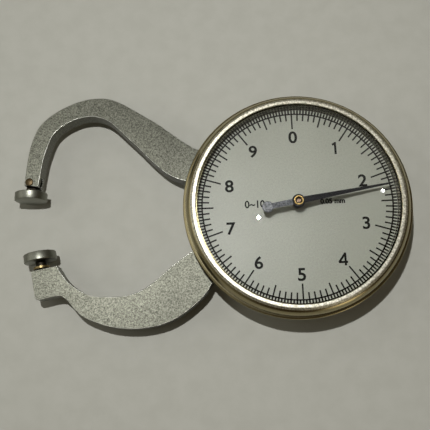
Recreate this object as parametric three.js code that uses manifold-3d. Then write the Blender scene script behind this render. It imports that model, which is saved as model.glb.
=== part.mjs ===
// Dial thickness gauge of the spring-open caliper pattern, in millimetres.
// The origin is the centre of the case back on the dial axis. +Z points out of the dial,
// the arms reach along -X, and +Y points at the zero of the scale.
// A fixed arm is screwed into the case. A moving arm turns on a post inside it and carries
// a toothed sector, which drives the pointer through a pinion, a wheel and a centre pinion.

import * as THREE from 'three';
import { mergeVertices } from 'three/addons/utils/BufferGeometryUtils.js';
import Module from 'manifold-3d';

const wasm = await Module();
wasm.setup();

// Clearances and the fineness of round faces
const RUN = 0.05; // radial clearance of a running fit
const SEAT = 0.3; // gap kept between turned or cut neighbours
const OVERRUN = 1; // how far a cutter passes the face that it cuts
const LARGE = 48; // facets round the case, the bezel and the dial
const MIDDLE = 28;
const SMALL = 12;

// Travel: one turn of the pointer is 10 mm between the contacts
const MM_PER_TURN = 10;
const REST_OPENING = 12.24; // gap between the contacts with the arm on its stop
const CLOSED_GAP = 0.3; // gap left at the end of the travel, so that the swivel stays clear

// Contacts
const ARM_REACH = 57.35; // dial axis to the centre of the fixed contact, along X
const CONTACT_DROP = 7.36; // fixed contact's face below the dial's centre line
const FACE_TILT = THREE.MathUtils.degToRad(9.6);
const CONTACT_R = 3.6;
const CONTACT_T = 1.9;
const CONTACT_EDGE = 0.2;
const CONTACT_NECK = 1.1;
const COLLAR_T = 0.6;
const COLLAR_R = 1.8;
const STUD_R = 1.2;
const STUD_GRIP = 3;

// Arms
const ARM_T = 4;
const ARM_LIFT = 0.3; // running gap between the arms and the case web
const BLOCK_LEFT = 2; // fixed arm's end block, either side of the contact axis
const BLOCK_RIGHT = 3.85;
const BLOCK_DEPTH = 6.6;
const BLOCK_ROUND = 0.9;
const PIN_BACK = 4; // swivel pin behind the moving contact's face
const PIN_R = 0.5;
const PIN_HEAD_R = 0.95;
const PIN_DOME = 0.45;
const TONGUE_R = 1;
const TONGUE_T = 1;
const FOOT_INSET = 3.2; // the fixed arm's two screws, inward of the case bore
const FOOT_ANGLE = THREE.MathUtils.degToRad(-148.75);
const FOOT_HALF_SPREAD = THREE.MathUtils.degToRad(7.4);
const FOOT_BOSS_R = 2.2;

// Heights from the back to the dial
const COVER_T = 1;
const WEB_T = 1.2;
const WEB_BITE = 0.8; // how deep pivots, posts and screws reach into the web
const SECTOR_T = 0.8;
const BRIDGE_GAP = 0.4;
const BRIDGE_T = 0.8;
const DIAL_GAP = 0.7;
const DIAL_T = 0.6;

// Dial, bezel and case: every round size follows the dial plate's
const DIAL_R = 22.1;
const DIAL_HOLE_R = 1.5;
const DIAL_MARGIN = 1.6; // outside the graduation circle
const REFLECTOR_WALL = 0.65;
const BEZEL_WALL = 2.46;
const GRIP_STEP = 0.16;
const CASE_WALL = 2.4;
const NECK_WALL = 1.05;
const COVER_INSET = 1.8;
const FACE_R = DIAL_R - DIAL_MARGIN;
const REFLECTOR_R = DIAL_R - REFLECTOR_WALL;
const BEZEL_BORE_R = DIAL_R + 2 * RUN;
const BEZEL_R = BEZEL_BORE_R + BEZEL_WALL;
const GRIP_R = BEZEL_R - GRIP_STEP;
const NECK_R = BEZEL_BORE_R - 3 * RUN;
const CASE_BORE_R = NECK_R - NECK_WALL;
const CASE_R = CASE_BORE_R + CASE_WALL;
const COVER_R = CASE_R - COVER_INSET;
const CASE_CHAMFER = 0.4;
const SLOT_ROOF = 0.3; // running gap over the arms in their slots
const SHOULDER_RISE = 0.7; // case shoulder above the arms
const LIP_R = REFLECTOR_R + 3 * RUN;
const LIP_RISE = 3.63; // bezel lip above the dial
const LIP_W = 0.93;
const LIP_T = 0.43;
const FLANGE_T = 0.7; // crystal's rim
const CRYSTAL_T = 0.75;
const CRYSTAL_RISE = 2.4;
const GROOVE_D = 0.4;
const RING_T = 0.35;
const RING_GAP = THREE.MathUtils.degToRad(12);

// Gear train: the sector drives the idler pinion, and the idler wheel the centre pinion
const MODULE = CASE_BORE_R / 70; // the train fills the case's bore
const SECTOR_COUNT = 75; // teeth of the whole circle that the sector is cut from
const IDLER_COUNT = 12;
const WHEEL_COUNT = 60;
const CENTRE_COUNT = 10;
const RETURN_COUNT = 40; // wheel that carries the hairspring
const RETURN_ANGLE = THREE.MathUtils.degToRad(230); // its place, as seen from the centre
const BACKLASH = 0.05;
const PRESSURE = THREE.MathUtils.degToRad(20);
const WHEEL_T = 0.6;
const PINION_T = 1.2;
const PIVOT_SHARE = 0.4476; // of the case's bore
const PIVOT_RISE = CASE_BORE_R * PIVOT_SHARE; // arm pivot above the dial axis, along Y
const HUB_GAP = 0.4; // between the arm's hub and the idler wheel's teeth
const HUB_R = pitchRadius(SECTOR_COUNT + IDLER_COUNT - WHEEL_COUNT) - MODULE - HUB_GAP;
const POST_R = 5 * MODULE;
const BUSH_WALL = 0.65;
const ARBOR_R = 0.7;
const PIVOT_R = 0.4; // thin ends of the arbors

// Bridge, its pillars and the small screws
const BRIDGE_GAP_R = 2.1; // round the bridge, inside the case's bore
const BRIDGE_R = CASE_BORE_R - BRIDGE_GAP_R;
const PILLAR_R = 1.3;
const PILLAR_CIRCLE_R = BRIDGE_R - PILLAR_R - 2 * RUN;
const PILLAR_ANGLE = THREE.MathUtils.degToRad(62);
const SCREW_R = 0.55;
const SCREW_HEAD_R = 1.1;
const COVER_SCREW_INSET = 2.6;
const COVER_SCREW_CIRCLE_R = COVER_R - COVER_SCREW_INSET;
const COVER_SCREW_COUNT = 3;

// Stop and springs
const STOP_R = 0.8;
const STOP_SHARE = 0.95; // where the stop and the spring meet the arm, as shares of its edges
const SPRING_SHARE = 0.955;
const SPRING_POST_R = 0.9;
const SPRING_POST_ANGLE = THREE.MathUtils.degToRad(183.5);
const STRIP_T = 0.25;
const STRIP_W = 2.4;
const HAIR_T = 0.13;
const HAIR_W = 0.5;
const HAIR_INNER_R = 1.7;
const HAIR_OUTER_R = 4.9;
const HAIR_TURNS = 5;
const HAIR_STUD_R = 0.6;

// Pointer
const NEEDLE_RISE = 3.7; // needle's root above the dial
const NEEDLE_TIP_RISE = 2.3; // the needle bends down to its tip
const POINTER_T = 0.25;
const POINTER_HUB_R = 1.4;
const POINTER_HUB_T = 0.9;
const BUSH_R = 1;
const BUSH_RISE = 4.15;
const POINTER_TAIL = 6.65;
const POINTER_DISC_R = 1.2;

// Levels worked out from the sizes above
const WEB_TOP = COVER_T + WEB_T;
const FOOT_Z = WEB_TOP - WEB_BITE;
const ARM_Z0 = WEB_TOP + ARM_LIFT;
const ARM_Z1 = ARM_Z0 + ARM_T;
const ARM_MID = ARM_Z0 + ARM_T / 2;
const SECTOR_Z1 = ARM_Z1 + SECTOR_T;
const BRIDGE_Z0 = SECTOR_Z1 + BRIDGE_GAP;
const BRIDGE_Z1 = BRIDGE_Z0 + BRIDGE_T;
const DIAL_Z0 = BRIDGE_Z1 + DIAL_GAP;
const DIAL_Z1 = DIAL_Z0 + DIAL_T;
const LIP_Z = DIAL_Z1 + LIP_RISE;
const SHOULDER_Z = ARM_Z1 + SHOULDER_RISE;
const RETURN_WHEEL_Z = ARM_Z0 + WHEEL_T;
const IDLER_WHEEL_Z = RETURN_WHEEL_Z + WHEEL_T + 2 * SEAT;
const CENTRE_PINION_Z0 = RETURN_WHEEL_Z - SEAT;
const CENTRE_PINION_Z1 = IDLER_WHEEL_Z + WHEEL_T + SEAT;
const IDLER_PINION_Z0 = (ARM_Z1 + SECTOR_Z1 - PINION_T) / 2;
const HAIR_Z0 = RETURN_WHEEL_Z + WHEEL_T + SEAT;
const NEEDLE_Z1 = DIAL_Z1 + NEEDLE_RISE;
const HUB_Z0 = NEEDLE_Z1 - POINTER_HUB_T;
const BUSH_Z1 = DIAL_Z1 + BUSH_RISE;
const BEZEL_Z0 = SHOULDER_Z + SEAT;
const BEZEL_RING_Z0 = BEZEL_Z0 + SEAT;
const DIAL_RING_Z0 = DIAL_Z0 - RING_T;
const FLANGE_Z1 = LIP_Z - LIP_T - RUN;
const FLANGE_Z0 = FLANGE_Z1 - FLANGE_T;

// Places worked out from the sizes above
const dialAxis = new THREE.Vector2(0, 0);
const pivot = new THREE.Vector2(0, PIVOT_RISE);
const fixedFace = new THREE.Vector2(-ARM_REACH, -CONTACT_DROP);
const leverLength = pivot.distanceTo(fixedFace);
const closeTurn = 2 * Math.asin(REST_OPENING / 2 / leverLength);
const travelTurn = closeTurn - CLOSED_GAP / leverLength;
const movingFace = fixedFace.clone().rotateAround(pivot, -closeTurn);
const movingTilt = FACE_TILT - closeTurn;
const tipPin = movingFace.clone().add(turned(0, PIN_BACK, movingTilt));
const blockTop = CONTACT_T + CONTACT_NECK + COLLAR_T + SEAT;
const blockBottom = blockTop + BLOCK_DEPTH;
const blockCentre = fixedFace.clone().add(
  turned((BLOCK_RIGHT - BLOCK_LEFT) / 2, -(blockTop + blockBottom) / 2, FACE_TILT),
);
const footR = CASE_BORE_R - FOOT_INSET;
const footCentre = polar(footR, FOOT_ANGLE);
const footPlaces = [1, -1].map((side) => polar(footR, FOOT_ANGLE + side * FOOT_HALF_SPREAD));
const pointerAngle = Math.PI / 2 - (2 * Math.PI * REST_OPENING) / MM_PER_TURN;

const sectorPitchR = pitchRadius(SECTOR_COUNT);
const idler = meetOfCircles(
  pivot, sectorPitchR + pitchRadius(IDLER_COUNT), dialAxis, pitchRadius(WHEEL_COUNT + CENTRE_COUNT),
);
const returnArbor = polar(pitchRadius(CENTRE_COUNT + RETURN_COUNT), RETURN_ANGLE);
const hairStud = polar(HAIR_OUTER_R + HAIR_STUD_R + SEAT, pointerAngle, returnArbor);
const sectorPhase = idler.clone().sub(pivot).angle();
const idlerPinionPhase = meshPhase(pivot, sectorPhase, SECTOR_COUNT, idler, IDLER_COUNT);
const idlerWheelPhase = idler.clone().negate().angle();
const centrePhase = meshPhase(idler, idlerWheelPhase, WHEEL_COUNT, dialAxis, CENTRE_COUNT);
const returnPhase = meshPhase(dialAxis, centrePhase, CENTRE_COUNT, returnArbor, RETURN_COUNT);

const pillarPlaces = [PILLAR_ANGLE, Math.PI - PILLAR_ANGLE, PILLAR_ANGLE - Math.PI, -PILLAR_ANGLE]
  .map((angle) => polar(PILLAR_CIRCLE_R, angle));
const coverScrewPlaces = Array.from({ length: COVER_SCREW_COUNT }, (_, index) => (
  polar(COVER_SCREW_CIRCLE_R, (2 * Math.PI * (index + 1 / 4)) / COVER_SCREW_COUNT)
));
const sectorScrewPlaces = [1.5, 2.5].map((share) => new THREE.Vector2(-share * HUB_R, 0).add(pivot));

// Rows of an arm's blade: along, across and half width, as shares of the arm's length
const movingArmShares = [
  [0.007, -0.016, 0.027], [0.023, 0.088, 0.03], [0.039, 0.146, 0.032], [0.064, 0.201, 0.032],
  [0.112, 0.244, 0.031], [0.174, 0.273, 0.032], [0.236, 0.285, 0.036], [0.293, 0.278, 0.041],
  [0.342, 0.253, 0.044], [0.399, 0.206, 0.052], [0.459, 0.155, 0.06], [0.515, 0.101, 0.066],
  [0.569, 0.056, 0.069], [0.623, 0.031, 0.065], [0.765, 0.015, 0.057], [1, 0, 0.055],
];
const fixedArmShares = [
  [0.014, 0.003, 0.098], [0.101, -0.055, 0.039], [0.2, -0.156, 0.059], [0.305, -0.203, 0.077],
  [0.395, -0.225, 0.087], [0.488, -0.229, 0.098], [0.584, -0.211, 0.111], [0.671, -0.172, 0.118],
  [0.764, -0.113, 0.118], [0.849, -0.055, 0.102], [1.02, 0, 0.1],
];
const [upperEdge, lowerEdge] = bladeEdges(movingArmShares, tipPin, pivot);
const movingOutline = [...upperEdge, ...lowerEdge.toReversed()];
const [fixedUpper, fixedLower] = bladeEdges(fixedArmShares, blockCentre, footCentre);
const fixedOutline = [...fixedUpper, ...fixedLower.toReversed()];
const stopPlace = beside(upperEdge, STOP_SHARE, STOP_R + RUN);
const springTouch = beside(lowerEdge, SPRING_SHARE, -(STRIP_T + RUN));
const springPost = polar(CASE_BORE_R - FOOT_INSET, SPRING_POST_ANGLE);

// Plane geometry

function turned(x, y, angle) {
  return new THREE.Vector2(x, y).rotateAround(new THREE.Vector2(), angle);
}

function polar(radius, angle, centre = dialAxis) {
  return new THREE.Vector2(Math.cos(angle), Math.sin(angle)).multiplyScalar(radius).add(centre);
}

// The crossing of two circles that lies to the left of the line between their centres
function meetOfCircles(a, radiusA, b, radiusB) {
  const span = b.clone().sub(a);
  const distance = span.length();
  const along = (distance ** 2 + radiusA ** 2 - radiusB ** 2) / (2 * distance);
  const across = Math.sqrt(radiusA ** 2 - along ** 2);
  return turned(along, across, span.angle()).add(a);
}

// Both edges of an arm's blade: a spline through its rows, widened to either side
function bladeEdges(shares, start, end) {
  const length = start.distanceTo(end);
  const angle = end.clone().sub(start).angle();
  const line = new THREE.SplineCurve(
    shares.map(([along, across]) => turned(along * length, across * length, angle).add(start)),
  );
  const widths = new THREE.SplineCurve(
    shares.map(([along, , half]) => new THREE.Vector2(along * length, half * length)),
  );
  const steps = 3 * (shares.length - 1);
  const edges = [[], []];
  for (let step = 0; step <= steps; step += 1) {
    const share = step / steps;
    const centre = line.getPoint(share);
    const across = turned(0, widths.getPoint(share).y, line.getTangent(share).angle());
    edges[0].push(centre.clone().add(across));
    edges[1].push(centre.clone().sub(across));
  }
  return edges;
}

// A point at a distance to the left of an edge, at a share of its points
function beside(edge, share, distance) {
  const at = share * (edge.length - 1);
  const from = edge[Math.floor(at)];
  const along = edge[Math.floor(at) + 1].clone().sub(from);
  return turned(0, distance, along.angle()).addScaledVector(along, at % 1).add(from);
}

// Angles between which points cross the case wall, with a gap at either end
function spanAtWall(points, gap) {
  const reach = CASE_R - CASE_BORE_R;
  const angles = points
    .filter((point) => point.length() > CASE_BORE_R - reach && point.length() < CASE_R + reach)
    .map((point) => point.angle());
  return [Math.min(...angles) - gap / CASE_R, Math.max(...angles) + gap / CASE_R];
}

// Gears

function pitchRadius(teeth) {
  return (teeth * MODULE) / 2;
}

function involute(angle) {
  return Math.tan(angle) - angle;
}

// Half of the angle that a tooth fills at a radius
function toothHalfAngle(radius, teeth) {
  const pitchR = pitchRadius(teeth);
  const baseR = pitchR * Math.cos(PRESSURE);
  const flank = radius > baseR ? involute(Math.acos(baseR / radius)) : 0;
  return Math.PI / (2 * teeth) - BACKLASH / (2 * pitchR) + involute(PRESSURE) - flank;
}

// Points of one tooth about its own centre line, with as many points on each flank as given
function toothPoints(teeth, centreAngle, flankPoints) {
  const rootR = pitchRadius(teeth) - 1.25 * MODULE;
  const tipR = pitchRadius(teeth) + 0.8 * MODULE;
  const radii = Array.from({ length: flankPoints }, (_, index) => (
    rootR + ((tipR - rootR) * index) / (flankPoints - 1)
  ));
  const rising = radii.map((radius) => polar(radius, centreAngle - toothHalfAngle(radius, teeth)));
  const falling = radii.map((radius) => polar(radius, centreAngle + toothHalfAngle(radius, teeth)));
  return [...rising, ...falling.reverse()];
}

// Phase of a driven gear, so that its gap meets the driver's tooth on the line of centres
function meshPhase(driver, driverPhase, driverTeeth, driven, drivenTeeth) {
  const direction = driven.clone().sub(driver).angle();
  const ahead = ((direction - driverPhase) * driverTeeth) / (2 * Math.PI);
  return direction + Math.PI - ((0.5 - ahead) * 2 * Math.PI) / drivenTeeth;
}

// Solids

function toSolid(geometry) {
  geometry.deleteAttribute('normal');
  geometry.deleteAttribute('uv');
  const merged = mergeVertices(geometry);
  const vertProperties = new Float32Array(merged.attributes.position.array);
  const triVerts = new Uint32Array(merged.index.array);
  return new wasm.Manifold(new wasm.Mesh({ numProp: 3, vertProperties, triVerts }));
}

function toGeometry(solid) {
  const mesh = solid.getMesh();
  const geometry = new THREE.BufferGeometry();
  geometry.setAttribute('position', new THREE.BufferAttribute(mesh.vertProperties, 3));
  geometry.setIndex(new THREE.BufferAttribute(mesh.triVerts, 1));
  geometry.computeVertexNormals();
  return geometry;
}

function cut(solid, ...cutters) {
  return cutters.reduce((rest, cutter) => rest.subtract(cutter), solid);
}

function join(...solids) {
  return solids.reduce((whole, next) => whole.add(next));
}

// A profile of [radius, height] pairs, turned about the Y axis
function latheGeometry(profile, facets) {
  const points = profile.map(([radius, height]) => new THREE.Vector2(radius, height));
  return new THREE.LatheGeometry(points, facets);
}

// A profile turned about an axis that stands along Z
function revolve(profile, facets, place = dialAxis) {
  return toSolid(latheGeometry(profile, facets).rotateX(Math.PI / 2).translate(place.x, place.y, 0));
}

// A profile turned about a contact's axis: heights are distances in front of its face
function revolveContact(profile, facets, face, angle) {
  return toSolid(latheGeometry(profile, facets).rotateZ(angle).translate(face.x, face.y, ARM_MID));
}

function disc(radius, z0, z1, place = dialAxis, facets = MIDDLE) {
  return revolve([[0, z0], [radius, z0], [radius, z1], [0, z1]], facets, place);
}

function ring(inner, outer, z0, z1, place = dialAxis, facets = MIDDLE) {
  const profile = [[inner, z0], [outer, z0], [outer, z1], [inner, z1], [inner, z0]];
  return revolve(profile, facets, place);
}

function extrude(shape, z0, z1, curveSegments = SMALL) {
  const settings = { depth: z1 - z0, bevelEnabled: false, curveSegments };
  return toSolid(new THREE.ExtrudeGeometry(shape, settings).translate(0, 0, z0));
}

// A part of a ring between two angles, closed by straight ends
function ringSector(inner, outer, start, end, z0, z1, facets) {
  const shape = new THREE.Shape();
  shape.absarc(0, 0, outer, start, end, false);
  shape.absarc(0, 0, inner, end, start, true);
  return extrude(shape, z0, z1, facets);
}

// A block that starts and ends at distances from a place along an angle, centred across it
function bar(place, angle, start, end, halfWidth, z0, z1) {
  const corners = [[start, -halfWidth], [end, -halfWidth], [end, halfWidth], [start, halfWidth]];
  const points = corners.map(([along, across]) => turned(along, across, angle).add(place));
  return extrude(new THREE.Shape(points), z0, z1);
}

function gear(teeth, phase, place, z0, z1, flankPoints) {
  const outline = [];
  for (let tooth = 0; tooth < teeth; tooth += 1) {
    outline.push(...toothPoints(teeth, phase + (2 * Math.PI * tooth) / teeth, flankPoints));
  }
  return extrude(new THREE.Shape(outline.map((point) => point.add(place))), z0, z1);
}

// A toothed wheel with a bored hub and spokes between its windows
function spokedWheel(teeth, phase, place, z0, spokes) {
  const z1 = z0 + WHEEL_T;
  const rimR = pitchRadius(teeth) - 3.5 * MODULE;
  const hubR = ARBOR_R + 4 * MODULE;
  const hubHalf = (1.5 * MODULE) / hubR;
  const rimHalf = (1.5 * MODULE) / rimR;
  let wheel = gear(teeth, phase, place, z0, z1, 2);
  for (let spoke = 0; spoke < spokes; spoke += 1) {
    const start = phase + (2 * Math.PI * spoke) / spokes;
    const end = start + (2 * Math.PI) / spokes;
    const shape = new THREE.Shape();
    shape.absarc(place.x, place.y, rimR, start + rimHalf, end - rimHalf, false);
    shape.absarc(place.x, place.y, hubR, end - hubHalf, start + hubHalf, true);
    wheel = cut(wheel, extrude(shape, z0 - OVERRUN, z1 + OVERRUN, SMALL / 4));
  }
  return cut(wheel, disc(ARBOR_R + RUN, z0 - OVERRUN, z1 + OVERRUN, place, SMALL));
}

// An arbor with thin ends in the web and the bridge, and a shoulder under its wheel
function arbor(place, shoulderZ) {
  const shoulderR = ARBOR_R + PIVOT_R;
  return revolve([
    [0, FOOT_Z + RUN], [PIVOT_R, FOOT_Z + RUN], [PIVOT_R, WEB_TOP + RUN], [ARBOR_R, WEB_TOP + RUN],
    [ARBOR_R, shoulderZ - PIVOT_R], [shoulderR, shoulderZ - PIVOT_R], [shoulderR, shoulderZ],
    [ARBOR_R, shoulderZ], [ARBOR_R, BRIDGE_Z0 - RUN], [PIVOT_R, BRIDGE_Z0 - RUN], [PIVOT_R, BRIDGE_Z1],
    [0, BRIDGE_Z1],
  ], SMALL, place);
}

// Screws

// Profile of [radius, depth] pairs below a head face: towards is 1 for a screw that points up
function fromHead(profile, headZ, towards) {
  const moved = profile.map(([radius, depth]) => [radius, headZ + towards * depth]);
  return towards > 0 ? moved : moved.reverse();
}

// A slotted countersunk screw with its head flush at headZ
function flushScrew(place, headZ, length, towards) {
  const body = revolve(fromHead([
    [0, 0], [SCREW_HEAD_R, 0], [SCREW_R, SCREW_HEAD_R - SCREW_R], [SCREW_R, length], [0, length],
  ], headZ, towards), SMALL, place);
  const slotDepth = (SCREW_HEAD_R - SCREW_R) / 2;
  const slotEnds = [headZ - OVERRUN, headZ + slotDepth];
  const ends = towards > 0 ? slotEnds : slotEnds.map((z) => 2 * headZ - z).reverse();
  return cut(body, bar(place, place.angle(), -2 * SCREW_HEAD_R, 2 * SCREW_HEAD_R, SCREW_R / 4, ...ends));
}

// The hole for a flush screw, with its countersink
function flushHole(place, headZ, length, towards) {
  const wide = SCREW_HEAD_R + RUN;
  return revolve(fromHead([
    [0, -OVERRUN], [wide, -OVERRUN], [wide, 0], [SCREW_R + RUN, wide - SCREW_R - RUN],
    [SCREW_R + RUN, length], [0, length],
  ], headZ, towards), SMALL, place);
}

// A slotted cheese-head screw that stands on the face at seatZ
function cheeseScrew(place, seatZ, footZ) {
  const headR = 1.4 * SCREW_HEAD_R;
  const headZ = seatZ + SECTOR_T - RUN;
  const body = revolve([
    [0, footZ], [SCREW_R, footZ], [SCREW_R, seatZ], [headR, seatZ], [headR, headZ], [0, headZ],
  ], SMALL, place);
  const slotZ = (seatZ + headZ) / 2;
  return cut(body, bar(place, place.angle(), -2 * headR, 2 * headR, SCREW_R / 4, slotZ, headZ + OVERRUN));
}

// Case group

function caseBody() {
  const recessR = COVER_R + SEAT / 2;
  const grooveR = NECK_R - GROOVE_D;
  const grooveZ1 = BEZEL_RING_Z0 + RING_T + RUN;
  const body = revolve([
    [0, COVER_T], [recessR, COVER_T], [recessR, 0], [CASE_R - CASE_CHAMFER, 0], [CASE_R, CASE_CHAMFER],
    [CASE_R, SHOULDER_Z], [NECK_R, SHOULDER_Z], [NECK_R, BEZEL_RING_Z0 - RUN],
    [grooveR, BEZEL_RING_Z0 - RUN], [grooveR, grooveZ1], [NECK_R, grooveZ1], [NECK_R, BRIDGE_Z1],
    [CASE_BORE_R, BRIDGE_Z1], [CASE_BORE_R, WEB_TOP], [0, WEB_TOP],
  ], LARGE);
  const closedOutline = movingOutline.map((point) => point.clone().rotateAround(pivot, closeTurn));
  const slots = [[...movingOutline, ...closedOutline], fixedOutline].map((points) => ringSector(
    CASE_BORE_R - OVERRUN, CASE_R + OVERRUN, ...spanAtWall(points, SEAT), WEB_TOP, ARM_Z1 + SLOT_ROOF, SMALL,
  ));
  const blind = (radius, place) => disc(radius + RUN, FOOT_Z - RUN, WEB_TOP + OVERRUN, place, SMALL);
  const holes = [
    ...[dialAxis, idler, returnArbor].map((place) => blind(PIVOT_R, place)),
    ...[...pillarPlaces, ...footPlaces].map((place) => blind(SCREW_R, place)),
    disc(POST_R + RUN, FOOT_Z - RUN, WEB_TOP + OVERRUN, pivot),
    blind(STOP_R, stopPlace),
    blind(SPRING_POST_R, springPost),
    ...coverScrewPlaces.map((place) => disc(SCREW_R + RUN, 0, WEB_TOP - SEAT, place, SMALL)),
  ];
  return cut(body, ...slots, ...holes);
}

function backCover() {
  const plate = revolve([
    [0, 0], [COVER_R - CASE_CHAMFER, 0], [COVER_R, CASE_CHAMFER], [COVER_R, COVER_T], [0, COVER_T],
  ], LARGE);
  return cut(plate, ...coverScrewPlaces.map((place) => flushHole(place, 0, COVER_T + OVERRUN, 1)));
}

// The plate over the movement, with two sight holes beside the train
function bridgePlate() {
  const through = (radius, place) => disc(radius, BRIDGE_Z0 - OVERRUN, BRIDGE_Z1 + OVERRUN, place, SMALL);
  const sightR = BRIDGE_R / 4;
  const sights = [Math.PI, 1.5 * Math.PI].map((angle) => (
    disc(sightR, BRIDGE_Z0 - OVERRUN, BRIDGE_Z1 + OVERRUN, polar(BRIDGE_R - sightR - PILLAR_R, angle))
  ));
  return cut(
    disc(BRIDGE_R, BRIDGE_Z0, BRIDGE_Z1, dialAxis, LARGE),
    ...sights,
    through(POST_R - BUSH_WALL + RUN, pivot),
    through(ARBOR_R + RUN, dialAxis),
    through(PIVOT_R + RUN, idler),
    through(PIVOT_R + RUN, returnArbor),
    through(HAIR_STUD_R + RUN, hairStud),
    ...pillarPlaces.map((place) => flushHole(place, BRIDGE_Z1, BRIDGE_T + OVERRUN, -1)),
  );
}

function bridgePillar(place) {
  const body = revolve([
    [0, FOOT_Z], [SCREW_R, FOOT_Z], [SCREW_R, WEB_TOP], [PILLAR_R, WEB_TOP], [PILLAR_R, BRIDGE_Z0],
    [0, BRIDGE_Z0],
  ], SMALL, place);
  return cut(body, disc(SCREW_R + RUN, ARM_MID, BRIDGE_Z0 + OVERRUN, place, SMALL));
}

function fixedArm() {
  const roundX = BLOCK_ROUND - BLOCK_LEFT;
  const shape = new THREE.Shape();
  shape.moveTo(BLOCK_RIGHT, -blockTop);
  shape.lineTo(-BLOCK_LEFT, -blockTop);
  shape.absarc(roundX, BLOCK_ROUND - blockBottom, BLOCK_ROUND, Math.PI, 1.5 * Math.PI, false);
  shape.lineTo(BLOCK_RIGHT, -blockBottom);
  const corners = shape.getPoints(3).map((point) => turned(point.x, point.y, FACE_TILT).add(fixedFace));
  const block = extrude(new THREE.Shape(corners), ARM_Z0, ARM_Z1);
  const blade = extrude(new THREE.Shape(fixedOutline), ARM_Z0, ARM_Z1);
  const bosses = footPlaces.map((place) => disc(FOOT_BOSS_R, WEB_TOP, ARM_Z1, place));
  const screwHoles = footPlaces.map((place) => (
    disc(SCREW_R + RUN, WEB_TOP - OVERRUN, ARM_Z1 + OVERRUN, place, SMALL)
  ));
  const boreEnd = -(blockTop + STUD_GRIP + SEAT);
  const boreR = STUD_R + SEAT;
  const bore = revolveContact(
    [[0, boreEnd], [boreR, boreEnd], [boreR, OVERRUN - blockTop], [0, OVERRUN - blockTop]],
    MIDDLE, fixedFace, FACE_TILT,
  );
  return cut(join(blade, block, ...bosses), ...screwHoles, bore);
}

// The measuring disc behind its face, with worn edges, from the back to the face
function contactProfile() {
  const edge = CONTACT_R - CONTACT_EDGE;
  return [
    [edge, -CONTACT_T], [CONTACT_R, CONTACT_EDGE - CONTACT_T], [CONTACT_R, -CONTACT_EDGE], [edge, 0], [0, 0],
  ];
}

function fixedContact() {
  const studEnd = -(blockTop + STUD_GRIP);
  return revolveContact(
    [[0, studEnd], [STUD_R, studEnd], [STUD_R, -CONTACT_T], ...contactProfile()],
    MIDDLE, fixedFace, FACE_TILT,
  );
}

function contactCollar() {
  const z1 = -(CONTACT_T + CONTACT_NECK);
  const z0 = z1 - COLLAR_T;
  const bore = STUD_R + RUN;
  return revolveContact(
    [[bore, z0], [COLLAR_R, z0], [COLLAR_R, z1], [bore, z1], [bore, z0]],
    MIDDLE, fixedFace, FACE_TILT,
  );
}

function pivotPost() {
  const thinR = POST_R - BUSH_WALL;
  return revolve([
    [0, FOOT_Z], [POST_R, FOOT_Z], [POST_R, BRIDGE_Z0 - RUN], [thinR, BRIDGE_Z0 - RUN], [thinR, BRIDGE_Z1],
    [0, BRIDGE_Z1],
  ], MIDDLE, pivot);
}

// Leaf that pushes the moving arm open: an eye round its post and a strip to the arm's edge
function returnSpring() {
  const eyeR = SPRING_POST_R + RUN + STRIP_T;
  const z0 = ARM_MID - STRIP_W / 2;
  const z1 = ARM_MID + STRIP_W / 2;
  const reach = springTouch.clone().sub(springPost);
  const start = polar(eyeR - STRIP_T / 2, reach.angle() + Math.PI / 2, springPost);
  const strip = springTouch.clone().sub(start);
  return join(
    ring(SPRING_POST_R + RUN, eyeR, z0, z1, springPost, SMALL),
    bar(start, strip.angle(), 0, strip.length(), STRIP_T / 2, z0, z1),
  );
}

// Moving arm group

function movingArm() {
  const blade = extrude(new THREE.Shape(movingOutline), ARM_Z0, ARM_Z1);
  const hub = disc(HUB_R, ARM_Z0, ARM_Z1, pivot, 1.5 * MIDDLE);
  const bore = disc(POST_R + BUSH_WALL + 2 * RUN, ARM_Z0 - OVERRUN, ARM_Z1 + OVERRUN, pivot);
  const slotHalf = TONGUE_T / 2 + CONTACT_EDGE;
  const slot = bar(
    tipPin, movingTilt - Math.PI / 2, -(TONGUE_R + SEAT), PIN_BACK, CONTACT_R,
    ARM_MID - slotHalf, ARM_MID + slotHalf,
  );
  const pinHole = disc(PIN_R + RUN, ARM_Z0 - OVERRUN, ARM_Z1 + OVERRUN, tipPin, SMALL);
  const screwHoles = sectorScrewPlaces.map((place) => (
    disc(SCREW_R + RUN, ARM_MID - RUN, ARM_Z1 + OVERRUN, place, SMALL)
  ));
  return cut(join(blade, hub), bore, slot, pinHole, ...screwHoles);
}

function swivelPin() {
  const flare = PIN_DOME / 2;
  const headR = PIN_HEAD_R - flare;
  return revolve([
    [0, ARM_Z0 - flare], [headR - flare / 2, ARM_Z0 - flare], [headR, ARM_Z0], [PIN_R, ARM_Z0],
    [PIN_R, ARM_Z1], [PIN_HEAD_R, ARM_Z1], [PIN_HEAD_R - flare / 2, ARM_Z1 + flare], [0, ARM_Z1 + PIN_DOME],
  ], SMALL, tipPin);
}

function movingContact() {
  const z0 = ARM_MID - TONGUE_T / 2;
  const z1 = ARM_MID + TONGUE_T / 2;
  const body = revolveContact([[0, -CONTACT_T], ...contactProfile()], MIDDLE, movingFace, movingTilt + Math.PI);
  const tongue = bar(tipPin, movingTilt - Math.PI / 2, 0, PIN_BACK - CONTACT_T / 2, TONGUE_R, z0, z1);
  const eye = disc(TONGUE_R, z0, z1, tipPin);
  return cut(join(body, tongue, eye), disc(PIN_R + RUN, z0 - OVERRUN, z1 + OVERRUN, tipPin, SMALL));
}

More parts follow.
